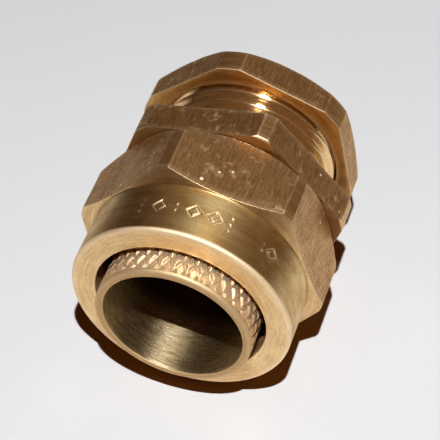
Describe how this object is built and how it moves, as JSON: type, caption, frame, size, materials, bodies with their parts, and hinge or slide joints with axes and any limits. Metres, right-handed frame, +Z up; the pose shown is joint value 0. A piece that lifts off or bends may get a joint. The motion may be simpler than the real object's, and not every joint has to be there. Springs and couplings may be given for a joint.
{
  "type": "armoured cable gland",
  "caption": "Brass compression gland that clamps an armoured cable at a panel: hexagon body with entry thread, gland nut over a knurled armour cone, and a locknut.",
  "frame": {"origin": "on the gland's axis, halfway along its length from the armour cone's nose to the end of the entry thread", "axes": "+Y along the axis, out of the cable end and into the panel; +Z up with the gland lying on its side; +X to the right, seen from the cable end"},
  "size_m": [0.0266, 0.0296, 0.026],
  "materials": {
    "body_brass": "drawn hexagon bar with fine lines along the axis, turned and threaded ends, slightly browned",
    "cone_brass": "turned sleeve with a diamond knurl outside and ring-shaped tool marks in the bore",
    "ring_brass": "plain turned brass",
    "nut_brass": "satin turned collar with a dull front face, drawn hexagon flats with fine lines along the axis",
    "locknut_brass": "drawn hexagon flats with a bright turned face"
  },
  "bodies": {
    "body": {"gland_body": "body_brass", "armour_cone": "cone_brass"},
    "ring": {"clamping_ring": "ring_brass"},
    "nut": {"gland_nut": "nut_brass"},
    "locknut": {"locknut": "locknut_brass"}
  },
  "joints": [
    {"name": "ring_slide", "type": "slide", "parent": "body", "child": "ring", "axis": [0, -1, 0], "range_m": [0, 0.006]},
    {"name": "nut_turn", "type": "hinge", "parent": "ring", "child": "nut", "pos_m": [0, 0, 0], "axis": [0, -1, 0], "range_deg": [0, 1440]},
    {"name": "locknut_slide", "type": "slide", "parent": "body", "child": "locknut", "axis": [0, 1, 0], "range_m": [-0.0045, 0.003]}
  ],
  "couplings": [
    {"joint": "ring_slide", "follows": "nut_turn", "m_per_rad": 0.00023873}
  ]
}
